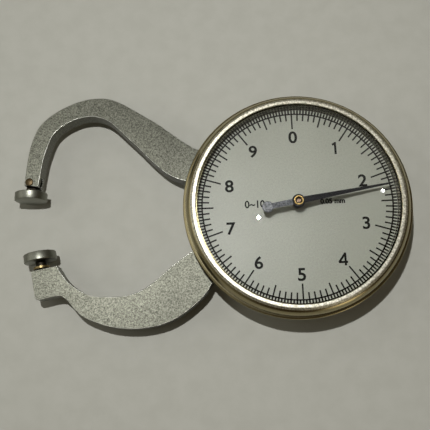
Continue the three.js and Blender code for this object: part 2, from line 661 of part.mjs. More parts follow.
// Toothed rim on two legs, with a tail along the arm that two screws hold
function sectorGear() {
  const pitchAngle = (2 * Math.PI) / SECTOR_COUNT;
  const behind = Math.ceil(closeTurn / pitchAngle) + 1;
  const ahead = 1;
  const outline = [];
  for (let tooth = -behind; tooth <= ahead; tooth += 1) {
    outline.push(...toothPoints(SECTOR_COUNT, sectorPhase + tooth * pitchAngle, 3));
  }
  const start = sectorPhase - (behind + 1 / 2) * pitchAngle;
  const end = sectorPhase + (ahead + 1 / 2) * pitchAngle;
  const rimR = sectorPitchR - 5 * MODULE;
  for (let step = 0; step <= behind; step += 1) {
    outline.push(polar(rimR, end + ((start - end) * step) / behind));
  }
  const rim = extrude(new THREE.Shape(outline.map((point) => point.add(pivot))), ARM_Z1, SECTOR_Z1);
  const legs = [start + pitchAngle, end - pitchAngle].map((angle) => (
    bar(pivot, angle, HUB_R / 2, rimR + MODULE, 3 * MODULE, ARM_Z1, SECTOR_Z1)
  ));
  const hub = disc(HUB_R, ARM_Z1, SECTOR_Z1, pivot, 1.5 * MIDDLE);
  const tail = bar(pivot, Math.PI, 0, 3 * HUB_R, 2 * SCREW_HEAD_R, ARM_Z1, SECTOR_Z1);
  return cut(
    join(hub, tail, rim, ...legs),
    disc(POST_R + RUN, ARM_Z1 - OVERRUN, SECTOR_Z1 + OVERRUN, pivot),
    ...sectorScrewPlaces.map((place) => flushHole(place, SECTOR_Z1, SECTOR_T + OVERRUN, -1)),
  );
}

// Train group

function idlerPinion() {
  const teeth = gear(IDLER_COUNT, idlerPinionPhase, idler, IDLER_PINION_Z0, IDLER_PINION_Z0 + PINION_T, 3);
  return join(arbor(idler, IDLER_WHEEL_Z), teeth);
}

function centreArbor() {
  const teeth = gear(CENTRE_COUNT, centrePhase, dialAxis, CENTRE_PINION_Z0, CENTRE_PINION_Z1, 3);
  const shaft = revolve([
    [0, FOOT_Z + RUN], [PIVOT_R, FOOT_Z + RUN], [PIVOT_R, WEB_TOP + RUN], [ARBOR_R, WEB_TOP + RUN],
    [ARBOR_R, HUB_Z0 - RUN], [PIVOT_R, HUB_Z0 - RUN], [PIVOT_R, BUSH_Z1 - PIVOT_R], [0, BUSH_Z1 - PIVOT_R],
  ], SMALL);
  return join(shaft, teeth);
}

// Its needle falls evenly from the hub to the tip
function pointer() {
  const tipHalf = POINTER_T / 3;
  const rootHalf = POINTER_HUB_R / 2;
  const needle = new THREE.Shape([
    new THREE.Vector2(0, -rootHalf), new THREE.Vector2(FACE_R, -tipHalf),
    new THREE.Vector2(FACE_R, tipHalf), new THREE.Vector2(0, rootHalf),
  ]);
  const fall = new THREE.Matrix4().makeShear(0, (NEEDLE_TIP_RISE - NEEDLE_RISE) / FACE_R, 0, 0, 0, 0);
  const flat = new THREE.ExtrudeGeometry(needle, { depth: POINTER_T, bevelEnabled: false });
  const blade = toSolid(flat.applyMatrix4(fall).rotateZ(pointerAngle).translate(0, 0, NEEDLE_Z1 - POINTER_T));
  const tail = bar(
    dialAxis, pointerAngle, -POINTER_TAIL, 0, POINTER_DISC_R / 2, NEEDLE_Z1 - POINTER_T, NEEDLE_Z1,
  );
  const balance = disc(
    POINTER_DISC_R, NEEDLE_Z1 - POINTER_T, NEEDLE_Z1, polar(-POINTER_TAIL, pointerAngle),
  );
  const hub = disc(POINTER_HUB_R, HUB_Z0, NEEDLE_Z1);
  return cut(join(blade, tail, balance, hub), disc(BUSH_R + RUN, HUB_Z0 - OVERRUN, NEEDLE_Z1 + OVERRUN));
}

// Flat spiral round the return arbor, whose outer end lies beside the stud
function hairspring() {
  const steps = SMALL * HAIR_TURNS;
  const outer = [];
  const inner = [];
  for (let step = 0; step <= steps; step += 1) {
    const share = step / steps;
    const radius = HAIR_INNER_R + (HAIR_OUTER_R - HAIR_INNER_R) * share;
    const angle = pointerAngle - 2 * Math.PI * HAIR_TURNS * (1 - share);
    outer.push(polar(radius + HAIR_T / 2, angle, returnArbor));
    inner.unshift(polar(radius - HAIR_T / 2, angle, returnArbor));
  }
  return extrude(new THREE.Shape([...outer, ...inner]), HAIR_Z0, HAIR_Z0 + HAIR_W);
}

// Bezel group

function bezel() {
  const grooveR = BEZEL_BORE_R + GROOVE_D;
  const lipOuter = LIP_R + LIP_W;
  const beadZ = DIAL_Z1 + LIP_T;
  const beadTop = beadZ + LIP_T;
  const stepZ = beadTop + LIP_T / 2;
  const lineR = BEZEL_R - LIP_W * 0.7;
  const slope = new THREE.QuadraticBezierCurve(
    new THREE.Vector2(lineR, stepZ + LIP_T),
    new THREE.Vector2(lineR - LIP_W / 4, LIP_Z - 1.5 * LIP_T),
    new THREE.Vector2(lipOuter, LIP_Z - LIP_T / 3),
  ).getPoints(3).map((point) => [point.x, point.y]);
  const ringZ1 = BEZEL_RING_Z0 + RING_T;
  return revolve([
    [BEZEL_BORE_R, BEZEL_Z0], [GRIP_R - LIP_T, BEZEL_Z0], [GRIP_R, BEZEL_Z0 + LIP_T], [GRIP_R, beadZ],
    [BEZEL_R, beadZ], [BEZEL_R, beadTop], [BEZEL_R - LIP_T / 2, stepZ], [lineR, stepZ], ...slope,
    [lipOuter - LIP_T / 3, LIP_Z], [LIP_R, LIP_Z], [LIP_R, LIP_Z - LIP_T], [BEZEL_BORE_R, LIP_Z - LIP_T],
    [BEZEL_BORE_R, DIAL_Z0 + RUN], [grooveR, DIAL_Z0 + RUN], [grooveR, DIAL_RING_Z0 - RUN],
    [BEZEL_BORE_R, DIAL_RING_Z0 - RUN], [BEZEL_BORE_R, ringZ1 + RUN], [grooveR, ringZ1 + RUN],
    [grooveR, BEZEL_RING_Z0 - RUN], [BEZEL_BORE_R, BEZEL_RING_Z0 - RUN], [BEZEL_BORE_R, BEZEL_Z0],
  ], LARGE);
}

// Height of a shallow dome above its rim, at a radius
function domeRise(radius, rimR) {
  const sphereR = (rimR ** 2 + CRYSTAL_RISE ** 2) / (2 * CRYSTAL_RISE);
  return Math.sqrt(sphereR ** 2 - radius ** 2) - (sphereR - CRYSTAL_RISE);
}

function crystal() {
  const outerR = LIP_R - 2 * RUN;
  const innerR = REFLECTOR_R - 2 * RUN;
  const steps = 4;
  const under = [];
  const over = [];
  for (let step = 0; step <= steps; step += 1) {
    const share = step / steps;
    under.push([innerR * share, FLANGE_Z0 + domeRise(innerR * share, innerR)]);
    over.unshift([outerR * share, FLANGE_Z0 + CRYSTAL_T + domeRise(outerR * share, outerR)]);
  }
  return revolve([...under, [DIAL_R, FLANGE_Z0], [DIAL_R, FLANGE_Z1], [outerR, FLANGE_Z1], ...over], LARGE);
}

function dialPlate() {
  const hole = disc(DIAL_HOLE_R, DIAL_Z0 - OVERRUN, DIAL_Z1 + OVERRUN);
  return cut(disc(DIAL_R, DIAL_Z0, DIAL_Z1, dialAxis, LARGE), hole);
}

function snapRing(inner, outer, z0) {
  return ringSector(inner, outer, RING_GAP / 2, 2 * Math.PI - RING_GAP / 2, z0, z0 + RING_T, MIDDLE);
}

// Assembly

const finishes = {
  nickel: { color: 0xb9b49c, roughness: 0.34, metalness: 0.9 },
  satin: { color: 0xa6a79c, roughness: 0.5, metalness: 0.85 },
  blasted: { color: 0xa3a499, roughness: 0.62, metalness: 0.8 },
  steel: { color: 0xb8b8b2, roughness: 0.25, metalness: 1 },
  brass: { color: 0xb08d45, roughness: 0.35, metalness: 1 },
  screw: { color: 0x8d8e8c, roughness: 0.35, metalness: 1 },
  dial: { color: 0xb4b8ac, roughness: 0.6, metalness: 0.1 },
  glass: { color: 0xe8eeea, roughness: 0.05, metalness: 0 },
  black: { color: 0x18181a, roughness: 0.45, metalness: 0.2 },
  blued: { color: 0x3a4a68, roughness: 0.3, metalness: 1 },
};

const gauge = new THREE.Group();

function add(name, finish, solid) {
  const mesh = new THREE.Mesh(toGeometry(solid), new THREE.MeshStandardMaterial(finishes[finish]));
  mesh.name = name;
  gauge.add(mesh);
}

add('case_body', 'satin', caseBody());
add('back_cover', 'satin', backCover());
coverScrewPlaces.forEach((place, index) => {
  add(`cover_screw_${index + 1}`, 'screw', flushScrew(place, 0, WEB_TOP - 2 * SEAT, 1));
});
add('fixed_arm', 'blasted', fixedArm());
footPlaces.forEach((place, index) => {
  add(`arm_screw_${index + 1}`, 'screw', cheeseScrew(place, ARM_Z1, FOOT_Z));
});
add('fixed_contact', 'steel', fixedContact());
add('contact_collar', 'brass', contactCollar());
add('pivot_post', 'steel', pivotPost());
add('thrust_washer', 'brass', ring(POST_R + RUN, HUB_R - CONTACT_EDGE, WEB_TOP, ARM_Z0, pivot));
add('pivot_washer', 'brass', ring(POST_R + RUN, HUB_R - SEAT, SECTOR_Z1, BRIDGE_Z0 - RUN, pivot));
add('bridge_plate', 'brass', bridgePlate());
pillarPlaces.forEach((place, index) => {
  add(`bridge_pillar_${index + 1}`, 'brass', bridgePillar(place));
  add(`bridge_screw_${index + 1}`, 'screw', flushScrew(place, BRIDGE_Z1, BRIDGE_T + ARM_LIFT * 4, -1));
});
add('stop_pin', 'steel', disc(STOP_R, FOOT_Z, ARM_Z1 + SEAT, stopPlace, SMALL));
add('spring_post', 'steel', disc(SPRING_POST_R, FOOT_Z, ARM_Z1 + SEAT, springPost, SMALL));
add('return_spring', 'blued', returnSpring());
add('hairspring_stud', 'brass', disc(HAIR_STUD_R, HAIR_Z0, BRIDGE_Z1, hairStud, SMALL));

add('moving_arm', 'blasted', movingArm());
add('arm_bushing', 'brass', ring(POST_R + RUN, POST_R + RUN + BUSH_WALL, ARM_Z0, ARM_Z1, pivot));
add('sector_gear', 'brass', sectorGear());
sectorScrewPlaces.forEach((place, index) => {
  add(`sector_screw_${index + 1}`, 'screw', flushScrew(place, SECTOR_Z1, SECTOR_Z1 - ARM_MID, -1));
});
add('tip_pin', 'brass', swivelPin());
add('moving_contact', 'steel', movingContact());

add('idler_pinion', 'steel', idlerPinion());
add('idler_wheel', 'brass', spokedWheel(WHEEL_COUNT, idlerWheelPhase, idler, IDLER_WHEEL_Z, 4));
add('centre_arbor', 'steel', centreArbor());
add('pointer', 'black', pointer());
add('pointer_bush', 'brass', ring(PIVOT_R + RUN, BUSH_R, HUB_Z0, BUSH_Z1, dialAxis, SMALL));
add('return_arbor', 'steel', arbor(returnArbor, RETURN_WHEEL_Z));
add('return_wheel', 'brass', spokedWheel(RETURN_COUNT, returnPhase, returnArbor, RETURN_WHEEL_Z, 3));
add('hairspring_collet', 'brass', ring(
  ARBOR_R + RUN, HAIR_INNER_R - SEAT, HAIR_Z0, HAIR_Z0 + HAIR_W, returnArbor, SMALL,
));
add('hairspring', 'blued', hairspring());

add('bezel', 'nickel', bezel());
add('crystal', 'glass', crystal());
add('reflector_ring', 'nickel', ring(REFLECTOR_R, DIAL_R, DIAL_Z1, FLANGE_Z0, dialAxis, LARGE));
add('dial_plate', 'dial', dialPlate());
add('dial_snap_ring', 'steel', snapRing(REFLECTOR_R, BEZEL_BORE_R + GROOVE_D / 2, DIAL_RING_Z0));
add('bezel_snap_ring', 'steel', snapRing(
  NECK_R - GROOVE_D + 3 * RUN, BEZEL_BORE_R + GROOVE_D / 2, BEZEL_RING_Z0,
));

const pointerTravel = (travelTurn * SECTOR_COUNT * WHEEL_COUNT) / IDLER_COUNT / CENTRE_COUNT;
console.log('arm travel in degrees', THREE.MathUtils.radToDeg(travelTurn));
console.log('pointer travel in degrees', THREE.MathUtils.radToDeg(pointerTravel));
console.log('idler', idler.toArray(), 'return arbor', returnArbor.toArray(), 'tip pin', tipPin.toArray());

export default gauge;
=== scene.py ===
# Dial thickness gauge: two curved arms with measuring discs and a round dial
# case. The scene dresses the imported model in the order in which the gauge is
# put together, from the case to the crystal, and then lights it on a table.
import math

import bmesh
import bpy
from mathutils import Matrix, Vector


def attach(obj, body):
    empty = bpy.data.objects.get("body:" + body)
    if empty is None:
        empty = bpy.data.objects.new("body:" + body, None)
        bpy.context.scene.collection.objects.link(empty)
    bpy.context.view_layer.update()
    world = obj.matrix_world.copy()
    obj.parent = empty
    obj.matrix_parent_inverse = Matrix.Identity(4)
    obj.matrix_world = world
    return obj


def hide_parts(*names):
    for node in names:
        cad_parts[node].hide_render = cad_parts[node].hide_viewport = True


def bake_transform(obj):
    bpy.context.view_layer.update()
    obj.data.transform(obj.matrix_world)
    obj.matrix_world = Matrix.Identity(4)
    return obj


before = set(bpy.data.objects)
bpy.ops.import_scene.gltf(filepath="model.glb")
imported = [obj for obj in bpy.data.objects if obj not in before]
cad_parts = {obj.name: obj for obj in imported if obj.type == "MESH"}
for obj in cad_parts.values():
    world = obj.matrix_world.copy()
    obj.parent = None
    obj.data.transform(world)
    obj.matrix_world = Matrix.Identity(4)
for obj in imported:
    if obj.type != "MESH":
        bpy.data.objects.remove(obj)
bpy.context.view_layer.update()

# Case body: a cast zinc alloy cup, turned on the outside and satin plated.
# Its rim carries the bezel, and two openings in its wall let the arms out.
MM = 0.001


def grained(name, dark, light, grain, roughness, metallic=1.0, relief=0.0, shine=0.5, depth=0.04):
    """A metal or paint whose tone wavers over grains of a size in mm, which stand in relief."""
    material = bpy.data.materials.new(name)
    material.use_nodes = True
    nodes, links = material.node_tree.nodes, material.node_tree.links
    shader = nodes["Principled BSDF"]
    place = nodes.new("ShaderNodeTexCoord")
    grains = nodes.new("ShaderNodeTexNoise")
    grains.inputs["Scale"].default_value = 1 / (grain * MM)
    grains.inputs["Detail"].default_value = 3
    tones = nodes.new("ShaderNodeValToRGB")
    for stop, position, tone in zip(tones.color_ramp.elements, (0.36, 0.64), (dark, light)):
        stop.position = position
        stop.color = (*tone, 1)
    links.new(place.outputs["Object"], grains.inputs["Vector"])
    links.new(grains.outputs["Fac"], tones.inputs["Fac"])
    links.new(tones.outputs["Color"], shader.inputs["Base Color"])
    shader.inputs["Metallic"].default_value = metallic
    shader.inputs["Roughness"].default_value = roughness
    shader.inputs["Specular IOR Level"].default_value = shine
    if relief:
        bump = nodes.new("ShaderNodeBump")
        bump.inputs["Strength"].default_value = relief
        bump.inputs["Distance"].default_value = depth * MM
        links.new(grains.outputs["Fac"], bump.inputs["Height"])
        links.new(bump.outputs["Normal"], shader.inputs["Normal"])
    return material


def shade(mesh, sharpest=32):
    """Smooth shading that keeps the edges that turn by more than some degrees."""
    bm = bmesh.new()
    bm.from_mesh(mesh)
    for face in bm.faces:
        face.smooth = True
    for edge in bm.edges:
        edge.smooth = not edge.is_manifold or edge.calc_face_angle(0) < math.radians(sharpest)
    bm.to_mesh(mesh)
    bm.free()


def soften(piece, width, sharpest):
    """Rounds the edges that turn by more than some degrees, by a width in mm."""
    edge = piece.modifiers.new("soft edges", "BEVEL")
    edge.width = width * MM
    edge.segments = 2
    edge.limit_method = "ANGLE"
    edge.angle_limit = math.radians(sharpest)
    return edge


def placed(name, data):
    """An object in the scene, from a mesh, a text, a lamp or a camera."""
    piece = bpy.data.objects.new(name, data)
    bpy.context.scene.collection.objects.link(piece)
    return piece


def from_frame(node, width):
    """A merged copy of a CAD node with clean flat faces and edges softened by a width in mm."""
    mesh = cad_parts[node].data.copy()
    mesh.name = node + "_finish"
    mesh.materials.clear()
    bm = bmesh.new()
    bm.from_mesh(mesh)
    bmesh.ops.remove_doubles(bm, verts=bm.verts, dist=0.002 * MM)
    bmesh.ops.dissolve_limit(
        bm, angle_limit=math.radians(1), verts=bm.verts, edges=bm.edges,
        use_dissolve_boundaries=False)
    bm.to_mesh(mesh)
    bm.free()
    shade(mesh)
    piece = placed(node + "_finish", mesh)
    soften(piece, width, 34).harden_normals = True
    return piece


satin = grained(
    "satin plated alloy", (0.40, 0.395, 0.35), (0.47, 0.465, 0.42), 0.22, 0.42, relief=0.12)
case = from_frame("case_body", 0.08)
case.data.materials.append(satin)
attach(case, "case")
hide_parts("case_body")


# Back cover: a pressed and turned disc in the recess of the case, with a
# circular grain from the lathe. Three screws hold it.
def turned(name, dark, light, pitch, roughness, relief=0.1):
    """Turned metal: fine rings round the dial's axis, by radius and height, at a pitch in mm."""
    material = grained(name, dark, light, pitch, roughness, relief=relief, depth=0.02)
    nodes, links = material.node_tree.nodes, material.node_tree.links
    place, grains = nodes["Texture Coordinate"], nodes["Noise Texture"]
    parts = nodes.new("ShaderNodeSeparateXYZ")
    both = nodes.new("ShaderNodeMath")
    both.operation = "ADD"
    radius = nodes.new("ShaderNodeMath")
    radius.operation = "SQRT"
    rings = nodes.new("ShaderNodeCombineXYZ")
    links.new(place.outputs["Object"], parts.inputs["Vector"])
    for term, axis in enumerate("XY"):
        square = nodes.new("ShaderNodeMath")
        square.operation = "MULTIPLY"
        links.new(parts.outputs[axis], square.inputs[0])
        links.new(parts.outputs[axis], square.inputs[1])
        links.new(square.outputs["Value"], both.inputs[term])
    links.new(both.outputs["Value"], radius.inputs[0])
    links.new(radius.outputs["Value"], rings.inputs["X"])
    links.new(parts.outputs["Z"], rings.inputs["Y"])
    links.new(rings.outputs["Vector"], grains.inputs["Vector"])
    return material


cover = from_frame("back_cover", 0.06)
cover.data.materials.append(
    turned("turned alloy", (0.38, 0.38, 0.345), (0.50, 0.50, 0.46), 0.16, 0.36))
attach(cover, "case")
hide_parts("back_cover")

# Screws: turned steel with a milled slot, bright nickel plated, in the cover,
# the bridge, the arm's foot and the sector.
screw_metal = grained(
    "nickel plated screw", (0.45, 0.45, 0.44), (0.60, 0.60, 0.58), 0.12, 0.3, relief=0.08)
for name in [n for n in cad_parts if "_screw_" in n]:
    screw = from_frame(name, 0.05)
    screw.data.materials.append(screw_metal)
    body = "arm" if name.startswith("sector") else "case"
    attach(screw, body)
    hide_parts(name)

# Movement: brass plates, wheels and posts, steel arbors and pinions, and a
# blued hairspring. They are stamped, hobbed or turned, and keep the machined
# grain. The pointer's arbor is dark brown.
brass = grained("machined brass", (0.46, 0.30, 0.10), (0.60, 0.42, 0.17), 0.2, 0.33, relief=0.08)
steel = grained("ground steel", (0.46, 0.46, 0.45), (0.60, 0.60, 0.58), 0.15, 0.26, relief=0.06)
blued = grained(
    "blued spring steel", (0.030, 0.050, 0.11), (0.06, 0.09, 0.20), 0.3, 0.28, relief=0.05)
dark_brass_pivot = grained(
    "dark brass pivot", (0.06, 0.04, 0.028), (0.14, 0.095, 0.065), 0.3, 0.5, relief=0.1)
movement = {
    brass: (
        "bridge_plate", "bridge_pillar_1", "bridge_pillar_2", "bridge_pillar_3",
        "bridge_pillar_4", "hairspring_stud", "arm_bushing", "sector_gear", "idler_wheel",
        "return_wheel", "hairspring_collet",
    ),
    steel: (
        "pivot_post", "stop_pin", "spring_post", "idler_pinion", "return_arbor",
        "dial_snap_ring", "bezel_snap_ring",
    ),
    blued: ("hairspring",),
    dark_brass_pivot: ("centre_arbor",),
}
for metal, names in movement.items():
    for name in names:
        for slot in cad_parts[name].material_slots:
            slot.material = metal

# Pivot washers: turned brass rings above and below the moving arm's hub, lapped
# thinner on the side that the hub turns on, for the oil.
for name, hub_side, room in (("thrust_washer", 2.5, -0.01), ("pivot_washer", 7.3, 0.01)):
    washer = from_frame(name, 0.03)
    for vert in washer.data.vertices:
        if abs(vert.co.z - hub_side * MM) < 0.001 * MM:
            vert.co.z += room * MM
    washer.data.materials.append(brass)
    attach(washer, "case")
    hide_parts(name)

# Return spring: a blued leaf with an eye round its post. Its free end presses
# on the arm's edge, and the leaf bends when the arm closes; here it is cut
# into short steps along its length.
EYE_END = Vector((-17.6, 0.1, 4.5)) * MM
FREE_END = Vector((-9.6, 6.1, 4.5)) * MM
BENDS = 16
LEAF_EDGE = math.radians(50)
leaf = from_frame("return_spring", 0.03)
leaf.modifiers.clear()
bm = bmesh.new()
bm.from_mesh(leaf.data)
sharp = [edge for edge in bm.edges if edge.calc_face_angle(0) > LEAF_EDGE]
bmesh.ops.bevel(
    bm, geom=sharp, offset=0.03 * MM, segments=1, profile=0.5, material=-1, affect="EDGES",
    clamp_overlap=True)
for bend in range(BENDS):
    bmesh.ops.bisect_plane(
        bm, geom=bm.verts[:] + bm.edges[:] + bm.faces[:], dist=0.001 * MM,
        plane_co=EYE_END.lerp(FREE_END, (bend + 0.5) / BENDS), plane_no=FREE_END - EYE_END)
bmesh.ops.recalc_face_normals(bm, faces=bm.faces)
bm.to_mesh(leaf.data)
bm.free()
shade(leaf.data)
leaf.data.materials.append(blued)
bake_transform(leaf)
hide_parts("return_spring")

# Arms: zinc alloy castings, shot blasted to a fine sparkling grain. The edges
# get a lighter tone as a painted highlight, and the tone is painted lighter
# towards the tips and darker towards the case, a painted sheen.
PLATE_EDGE = math.radians(60)
CURVE_TURN = math.radians(25)  # the most that a stepped curve turns at a point
STRAIGHT = 0.001
GRID = 1e7  # tenths of a micrometre in a metre, to find a point again by its place
TIPS_X, ROOTS_X = -58, -28
COLOUR_A, COLOUR_B, COLOUR_OUT = 6, 7, 2  # sockets of a Mix node that mixes colours


def finer_outline(piece, steps=4):
    """Rounds the stepped curves of a plate's edges through their corners; real corners stay."""
    bm = bmesh.new()
    bm.from_mesh(piece.data)
    low = [min(v.co[i] for v in bm.verts) for i in range(3)]
    high = [max(v.co[i] for v in bm.verts) for i in range(3)]
    rims = {e for e in bm.edges if e.is_manifold and e.calc_face_angle(0) > PLATE_EDGE}
    curved, places = set(), {}
    for rim in rims:
        ends = [vert.co.copy() for vert in rim.verts]
        along = ends[1] - ends[0]
        slopes = []
        for vert, way in zip(rim.verts, (-1, 1)):
            slope = along
            for other in rims & set(vert.link_edges) - {rim}:
                onward = (other.other_vert(vert).co - vert.co) * way
                if STRAIGHT < onward.angle(along) < CURVE_TURN:
                    slope = (onward.normalized() + along.normalized()).normalized() * along.length
                    curved.add(rim)
            slopes.append(slope)
        for step in range(1, steps):
            t = step / steps
            spot = ends[0] + along * t
            bend = t * (1 - t) * ((1 - t) * (slopes[0] - along) - t * (slopes[1] - along))
            rounded = [min(max(c, l), h) for c, l, h in zip(spot + bend, low, high)]
            places[tuple(round(c * GRID) for c in spot)] = rounded
    bmesh.ops.subdivide_edges(bm, edges=list(curved), cuts=steps - 1, use_grid_fill=True)
    for vert in bm.verts:
        rounded = places.get(tuple(round(c * GRID) for c in vert.co))
        if rounded:
            vert.co = rounded
    bm.to_mesh(piece.data)
    bm.free()
    shade(piece.data)
    piece.modifiers["soft edges"].use_clamp_overlap = False


def lighter_ends(material):
    """Painted sheen: a tone that grows lighter along the arms, away from the case."""
    nodes, links = material.node_tree.nodes, material.node_tree.links
    parts = nodes.new("ShaderNodeSeparateXYZ")
    along = nodes.new("ShaderNodeMapRange")
    tone = nodes.new("ShaderNodeMix")
    tone.data_type = "RGBA"
    tone.blend_type = "MULTIPLY"
    tone.inputs["Factor"].default_value = 1
    for name, value in (
        ("From Min", TIPS_X * MM), ("From Max", ROOTS_X * MM), ("To Min", 1.34), ("To Max", 0.52),
    ):
        along.inputs[name].default_value = value
    links.new(nodes["Texture Coordinate"].outputs["Object"], parts.inputs["Vector"])
    links.new(parts.outputs["X"], along.inputs["Value"])
    links.new(nodes["Color Ramp"].outputs["Color"], tone.inputs[COLOUR_A])
    links.new(along.outputs["Result"], tone.inputs[COLOUR_B])
    links.new(tone.outputs[COLOUR_OUT], nodes["Principled BSDF"].inputs["Base Color"])


blasted = grained(
    "shot blasted alloy", (0.021, 0.021, 0.016), (0.170, 0.171, 0.137), 0.33, 0.41, relief=0.4)
blasted.node_tree.nodes["Noise Texture"].inputs["Detail"].default_value = 6
blasted.node_tree.nodes["Noise Texture"].inputs["Roughness"].default_value = 0.8
# Painted sheen: the arms' tone is lighter towards the tips and darker towards the case.
lighter_ends(blasted)
# The edges' bevels get a lighter, smoother tone: a painted highlight along the edges.
edge_highlight = grained("painted edge highlight", (0.28, 0.28, 0.25), (0.40, 0.40, 0.36), 0.3, 0.33, relief=0.1)
for name, body in (("fixed_arm", "case"), ("moving_arm", "arm")):
    arm = from_frame(name, 0.1)
    finer_outline(arm)
    arm.data.materials.append(blasted)
    arm.data.materials.append(edge_highlight)
    arm.modifiers["soft edges"].material = 1
    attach(arm, body)
    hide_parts(name)

# Measuring discs: hardened steel, turned and lapped flat on the face. The
# fixed one stands on a stud, and the moving one swivels on a flat tongue.
ROUND = 2 * math.pi
DISC_BACK = -1.9
TONGUE_END = -1.95  # just clear of the disc's back
FIXED_TILT = 0.16755
FIXED_AXIS = (-math.sin(FIXED_TILT), math.cos(FIXED_TILT), 0)
FIXED_FACE = (-57.35, -7.36, 4.5)
MOVING_AXIS = (-0.037657, -0.99929, 0)
MOVING_FACE = Vector((-59.5619, 4.6785, 4.5))


def lathe(name, profile, steps, axis=(0, 0, 1), centre=(0, 0, 0)):
    """A closed body spun from (radius, height) pairs in mm, about an axis through a place in mm."""
    bm = bmesh.new()
    points = [bm.verts.new((radius * MM, 0, height * MM)) for radius, height in profile]
    pairs = list(zip(points, points[1:]))
    if profile[0][0] > 0 or profile[-1][0] > 0:
        pairs.append((points[-1], points[0]))
    edges = [bm.edges.new(pair) for pair in pairs]
    bmesh.ops.spin(
        bm, geom=points + edges, cent=(0, 0, 0), axis=(0, 0, 1), angle=ROUND, steps=steps,
        use_merge=True)
    bmesh.ops.remove_doubles(bm, verts=bm.verts, dist=0.001 * MM)
    bmesh.ops.recalc_face_normals(bm, faces=bm.faces)
    upright = Vector((0, 0, 1)).rotation_difference(Vector(axis)).to_matrix().to_4x4()
    place = Matrix.Translation(Vector(centre) * MM)
    bmesh.ops.transform(bm, matrix=place @ upright, verts=bm.verts)
    mesh = bpy.data.meshes.new(name)
    bm.to_mesh(mesh)
    bm.free()
    shade(mesh)
    return placed(name, mesh)


lapped = grained(
    "lapped steel", (0.165, 0.167, 0.138), (0.23, 0.232, 0.195), 0.18, 0.4, relief=0.12)
# The stud and the tongue get a very dark steel, darker than the discs.
dark_steel = grained(
    "very dark steel", (0.013, 0.011, 0.008), (0.032, 0.028, 0.021), 0.3, 0.5, relief=0.1)
disc_profile = [
    (0, DISC_BACK), (3.4, DISC_BACK), (3.52, -1.87), (3.6, -1.75), (3.6, -0.15), (3.54, -0.04),
    (3.4, 0), (0, 0),
]
stud_profile = [(0, -6.9), (1.1, -6.9), (1.2, -6.8), (1.2, DISC_BACK), (0, DISC_BACK)]
fixed_disc = lathe("fixed_disc", disc_profile, 96, FIXED_AXIS, FIXED_FACE)
fixed_stud = lathe("fixed_stud", stud_profile, 64, FIXED_AXIS, FIXED_FACE)
moving_disc = lathe("moving_disc", disc_profile, 96, MOVING_AXIS, MOVING_FACE)
tongue = from_frame("moving_contact", 0.06)
bm = bmesh.new()
bm.from_mesh(tongue.data)
cut = bmesh.ops.bisect_plane(
    bm, geom=bm.verts[:] + bm.edges[:] + bm.faces[:], dist=0.0001 * MM, plane_no=MOVING_AXIS,
    plane_co=(MOVING_FACE + TONGUE_END * Vector(MOVING_AXIS)) * MM, clear_outer=True)
rim = [edge for edge in cut["geom_cut"] if isinstance(edge, bmesh.types.BMEdge)]
bmesh.ops.holes_fill(bm, edges=rim)
bm.to_mesh(tongue.data)
bm.free()
for piece, metal, body, node in (
    (fixed_disc, lapped, "case", "fixed_contact"),
    (fixed_stud, dark_steel, "case", "fixed_contact"),
    (moving_disc, lapped, "contact", "moving_contact"),
    (tongue, dark_steel, "contact", "moving_contact"),
):
    piece.data.materials.append(metal)
    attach(piece, body)
    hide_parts(node)

# Collar and swivel pin: turned brass, left bare; the pin's domed head, which
# stands on the moving arm, is darkened by handling.
bare_brass = grained(
    "bare brass", (0.12, 0.09, 0.042), (0.26, 0.20, 0.095), 0.25, 0.4, relief=0.1)
dark_brass = grained(
    "darkened brass", (0.04, 0.03, 0.016), (0.09, 0.065, 0.034), 0.25, 0.45, relief=0.1)
for name, body, metal in (
    ("contact_collar", "case", bare_brass), ("tip_pin", "arm", dark_brass),
):
    turning = from_frame(name, 0.08)
    turning.data.materials.append(metal)
    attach(turning, body)
    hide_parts(name)

# Dial plate: an aluminium disc with a fine silver-grey lacquer. It lies in the
# bezel and turns with it.
DIAL_TOP = 9.8
dial = lathe("dial", [(0.95, 9.2), (22.1, 9.2), (22.1, DIAL_TOP), (0.95, DIAL_TOP)], 192)
dial.data.materials.append(grained(
    "silver-grey lacquer", (0.233, 0.242, 0.200), (0.261, 0.270, 0.223), 0.35, 0.42, metallic=0.0,
    relief=0.05, shine=0.28))
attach(dial, "bezel_group")
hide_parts("dial_plate")

# Graduations: black ink, pad printed on the lacquer. Two hundred marks stand on
# a thin circle, every second one crosses it, and the tenth ones are longer.
INK_TOP = DIAL_TOP + 0.01
FACE_R = 20.5
CIRCLE_HALF = 0.16  # half the width of the thin circle
ink = grained(
    "printing ink", (0.003, 0.003, 0.003), (0.006, 0.006, 0.006), 0.3, 0.6, metallic=0.0,
    shine=0.02)


def ink_marks(bm, count, inner, outer, width):
    """Marks of a width in mm, evenly spaced, between two shares of the circle's radius."""
    inner, outer = FACE_R * inner, FACE_R * outer
    centre = Matrix.Translation((0, (inner + outer) / 2 * MM, INK_TOP * MM))
    size = Matrix.Diagonal((width * MM, (outer - inner) * MM, 1, 1))
    mark = bmesh.ops.create_grid(
        bm, x_segments=1, y_segments=1, size=0.5, matrix=centre @ size)
    bmesh.ops.spin(
        bm, geom=mark["verts"][0].link_faces[:], cent=(0, 0, 0), axis=(0, 0, 1),
        angle=ROUND * (count - 1) / count, steps=count - 1, use_duplicate=True)


def printed(name, mesh):
    """A print in ink that lies on the dial."""
    mesh.materials.clear()
    mesh.materials.append(ink)
    piece = placed(name, mesh)
    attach(piece, "bezel_group")


